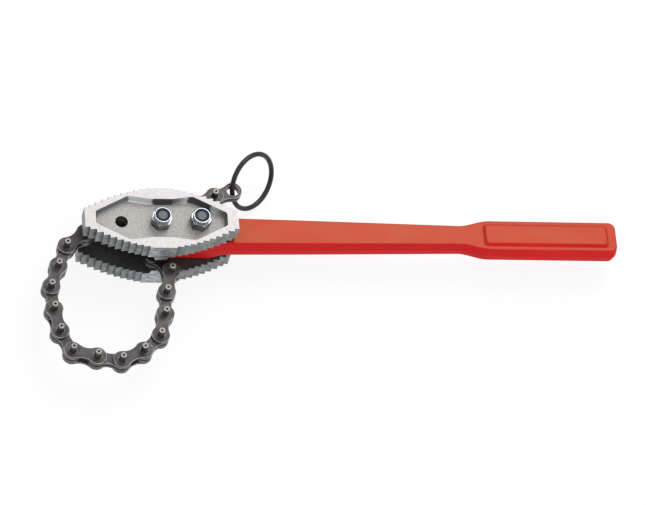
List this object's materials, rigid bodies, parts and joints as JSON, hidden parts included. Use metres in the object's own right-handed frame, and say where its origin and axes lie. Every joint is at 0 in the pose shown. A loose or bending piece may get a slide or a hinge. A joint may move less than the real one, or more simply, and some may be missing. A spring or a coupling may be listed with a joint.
{
  "type": "chain tongs",
  "caption": "Double-ended chain tongs: a forged handle between two toothed jaws, with a plate-and-pin chain that wraps a pipe and a pull ring at its free end.",
  "frame": {"origin": "middle of the whole object's footprint with the chain wrapped as at rest, at the rear jaw's outer rim, on which the tongs lie", "axes": "+X along the handle to the grip, +Z along the bolts and chain pins from the rear jaw to the front jaw, +Y across the jaws"},
  "size_m": [0.7598, 0.3146, 0.1028],
  "materials": {
    "red_enamel": "glossy enamel over a forging",
    "jaw_steel": "ground rim, blasted recess",
    "zinc_plate": "bright zinc plate",
    "nylon": "dark nylon",
    "chain_steel": "matte phosphate",
    "blacked_steel": "satin black"
  },
  "bodies": {
    "tongs_frame": {"handle": "red_enamel", "front_jaw": "jaw_steel", "rear_jaw": "jaw_steel", "centre_bolt": "zinc_plate", "handle_bolt": "zinc_plate", "centre_nut": "zinc_plate", "handle_nut": "zinc_plate", "centre_nut_insert": "nylon", "handle_nut_insert": "nylon"},
    "anchor": {"anchor_link": "chain_steel", "anchor_cover": "chain_steel"},
    "inner_01": {"inner_link_01": "chain_steel", "inner_cover_01": "chain_steel"},
    "outer_01": {"outer_link_01": "chain_steel", "outer_cover_01": "chain_steel"},
    "inner_02": {"inner_link_02": "chain_steel", "inner_cover_02": "chain_steel"},
    "outer_02": {"outer_link_02": "chain_steel", "outer_cover_02": "chain_steel"},
    "inner_03": {"inner_link_03": "chain_steel", "inner_cover_03": "chain_steel"},
    "outer_03": {"outer_link_03": "chain_steel", "outer_cover_03": "chain_steel"},
    "inner_04": {"inner_link_04": "chain_steel", "inner_cover_04": "chain_steel"},
    "outer_04": {"outer_link_04": "chain_steel", "outer_cover_04": "chain_steel"},
    "inner_05": {"inner_link_05": "chain_steel", "inner_cover_05": "chain_steel"},
    "outer_05": {"outer_link_05": "chain_steel", "outer_cover_05": "chain_steel"},
    "inner_06": {"inner_link_06": "chain_steel", "inner_cover_06": "chain_steel"},
    "outer_06": {"outer_link_06": "chain_steel", "outer_cover_06": "chain_steel"},
    "inner_07": {"inner_link_07": "chain_steel", "inner_cover_07": "chain_steel"},
    "outer_07": {"outer_link_07": "chain_steel", "outer_cover_07": "chain_steel"},
    "inner_08": {"inner_link_08": "chain_steel", "inner_cover_08": "chain_steel"},
    "outer_08": {"outer_link_08": "chain_steel", "outer_cover_08": "chain_steel"},
    "inner_09": {"inner_link_09": "chain_steel", "inner_cover_09": "chain_steel"},
    "outer_09": {"outer_link_09": "chain_steel", "outer_cover_09": "chain_steel"},
    "inner_10": {"inner_link_10": "chain_steel", "inner_cover_10": "chain_steel"},
    "outer_10": {"outer_link_10": "chain_steel", "outer_cover_10": "chain_steel"},
    "end": {"end_link": "chain_steel", "end_cover": "chain_steel"},
    "ring": {"pull_ring": "blacked_steel"}
  },
  "joints": [
    {"name": "anchor_swing", "type": "hinge", "parent": "tongs_frame", "child": "anchor", "pos_m": [-0.2266, 0.0376, 0.047], "axis": [0, 0, 1], "range_deg": [0, 10]},
    {"name": "pivot_01", "type": "hinge", "parent": "anchor", "child": "inner_01", "pos_m": [-0.23347, 0.00661, 0.047], "axis": [0, 0, 1], "range_deg": [-5, 5]},
    {"name": "pivot_02", "type": "hinge", "parent": "inner_01", "child": "outer_01", "pos_m": [-0.21202, -0.0168, 0.047], "axis": [0, 0, 1], "range_deg": [0, 22]},
    {"name": "pivot_03", "type": "hinge", "parent": "outer_01", "child": "inner_02", "pos_m": [-0.21997, -0.04754, 0.047], "axis": [0, 0, 1], "range_deg": [0, 15]},
    {"name": "pivot_04", "type": "hinge", "parent": "inner_02", "child": "outer_02", "pos_m": [-0.22411, -0.07902, 0.047], "axis": [0, 0, 1], "range_deg": [0, 25]},
    {"name": "pivot_05", "type": "hinge", "parent": "outer_02", "child": "inner_03", "pos_m": [-0.23206, -0.10976, 0.047], "axis": [0, 0, 1], "range_deg": [0, 30]},
    {"name": "pivot_06", "type": "hinge", "parent": "inner_03", "child": "outer_03", "pos_m": [-0.2549, -0.13181, 0.047], "axis": [0, 0, 1], "range_deg": [0, 30]},
    {"name": "pivot_07", "type": "hinge", "parent": "outer_03", "child": "inner_04", "pos_m": [-0.28356, -0.14548, 0.047], "axis": [0, 0, 1], "range_deg": [0, 15]},
    {"name": "pivot_08", "type": "hinge", "parent": "inner_04", "child": "outer_04", "pos_m": [-0.31496, -0.14079, 0.047], "axis": [0, 0, 1], "range_deg": [0, 15]},
    {"name": "pivot_09", "type": "hinge", "parent": "outer_04", "child": "inner_05", "pos_m": [-0.34577, -0.13311, 0.047], "axis": [0, 0, 1], "range_deg": [0, 60]},
    {"name": "pivot_10", "type": "hinge", "parent": "inner_05", "child": "outer_05", "pos_m": [-0.36018, -0.10482, 0.047], "axis": [0, 0, 1], "range_deg": [0, 15]},
    {"name": "pivot_11", "type": "hinge", "parent": "outer_05", "child": "inner_06", "pos_m": [-0.36624, -0.07365, 0.047], "axis": [0, 0, 1], "range_deg": [0, 35]},
    {"name": "pivot_12", "type": "hinge", "parent": "inner_06", "child": "outer_06", "pos_m": [-0.36818, -0.04196, 0.047], "axis": [0, 0, 1], "range_deg": [0, 10]},
    {"name": "pivot_13", "type": "hinge", "parent": "outer_06", "child": "inner_07", "pos_m": [-0.35732, -0.01213, 0.047], "axis": [0, 0, 1], "range_deg": [0, 40]},
    {"name": "pivot_14", "type": "hinge", "parent": "inner_07", "child": "outer_07", "pos_m": [-0.34491, 0.0171, 0.047], "axis": [0, 0, 1], "range_deg": [0, 55]},
    {"name": "pivot_15", "type": "hinge", "parent": "outer_07", "child": "inner_08", "pos_m": [-0.31989, 0.03665, 0.047], "axis": [0, 0, 1], "range_deg": [0, 35]},
    {"name": "pivot_16", "type": "hinge", "parent": "inner_08", "child": "outer_08", "pos_m": [-0.29405, 0.05508, 0.047], "axis": [0, 0, 1], "range_deg": [0, 35]},
    {"name": "pivot_17", "type": "hinge", "parent": "outer_08", "child": "inner_09", "pos_m": [-0.26698, 0.07167, 0.047], "axis": [0, 0, 1], "range_deg": [0, 40]},
    {"name": "pivot_18", "type": "hinge", "parent": "inner_09", "child": "outer_09", "pos_m": [-0.23856, 0.08584, 0.047], "axis": [0, 0, 1], "range_deg": [0, 45]},
    {"name": "pivot_19", "type": "hinge", "parent": "outer_09", "child": "inner_10", "pos_m": [-0.20691, 0.08833, 0.047], "axis": [0, 0, 1], "range_deg": [0, 70]},
    {"name": "pivot_20", "type": "hinge", "parent": "inner_10", "child": "outer_10", "pos_m": [-0.17655, 0.07905, 0.047], "axis": [0, 0, 1], "range_deg": [0, 45]},
    {"name": "end_pivot", "type": "hinge", "parent": "outer_10", "child": "end", "pos_m": [-0.14813, 0.09322, 0.047], "axis": [0, 0, 1], "range_deg": [-30, 60]},
    {"name": "ring_swing", "type": "hinge", "parent": "end", "child": "ring", "pos_m": [-0.12301, 0.10311, 0.047], "axis": [0, 0, 1], "range_deg": [-15, 50]}
  ]
}
